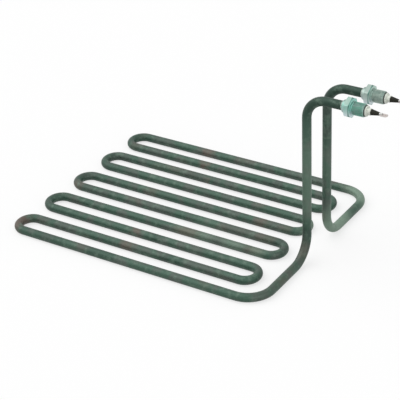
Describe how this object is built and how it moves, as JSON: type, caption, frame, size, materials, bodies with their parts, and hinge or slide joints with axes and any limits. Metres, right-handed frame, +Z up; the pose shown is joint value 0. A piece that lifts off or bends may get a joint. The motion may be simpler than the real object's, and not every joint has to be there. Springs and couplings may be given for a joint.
{
  "type": "fryer heating element",
  "caption": "Tubular immersion heater for a deep fryer: a flat bed of parallel runs, two risers and a threaded gland with a spade tab at each end.",
  "frame": {"origin": "centre of the bounding box in plan, on the plane that the bed of runs rests on", "axes": "+X along the runs, the way the terminals point; +Y towards the rear riser; +Z up, along the risers"},
  "size_m": [0.3556, 0.2272, 0.1766],
  "materials": {
    "oxidised_sheath": "dark oxidised stainless steel",
    "bright_gland": "bright machined steel",
    "braze": "dull silver braze",
    "dark_seal": "matt dark silicone",
    "white_ceramic": "matt white steatite",
    "black_boot": "matt black silicone",
    "pin_steel": "plain drawn steel",
    "tab_plate": "nickel plated",
    "coil_wire": "bright resistance wire",
    "powder": "compacted white powder"
  },
  "bodies": {
    "root": {"sheath_tube": "oxidised_sheath", "insulation_filling": "powder", "resistance_coil": "coil_wire", "front_braze_fillet": "braze", "front_gland": "bright_gland", "front_end_seal": "dark_seal", "front_ceramic_bushing": "white_ceramic", "front_pin_boot": "black_boot", "front_terminal_pin": "pin_steel", "front_spade_tab": "tab_plate", "rear_braze_fillet": "braze", "rear_gland": "bright_gland", "rear_end_seal": "dark_seal", "rear_ceramic_bushing": "white_ceramic", "rear_pin_boot": "black_boot", "rear_terminal_pin": "pin_steel", "rear_spade_tab": "tab_plate"}
  },
  "joints": []
}
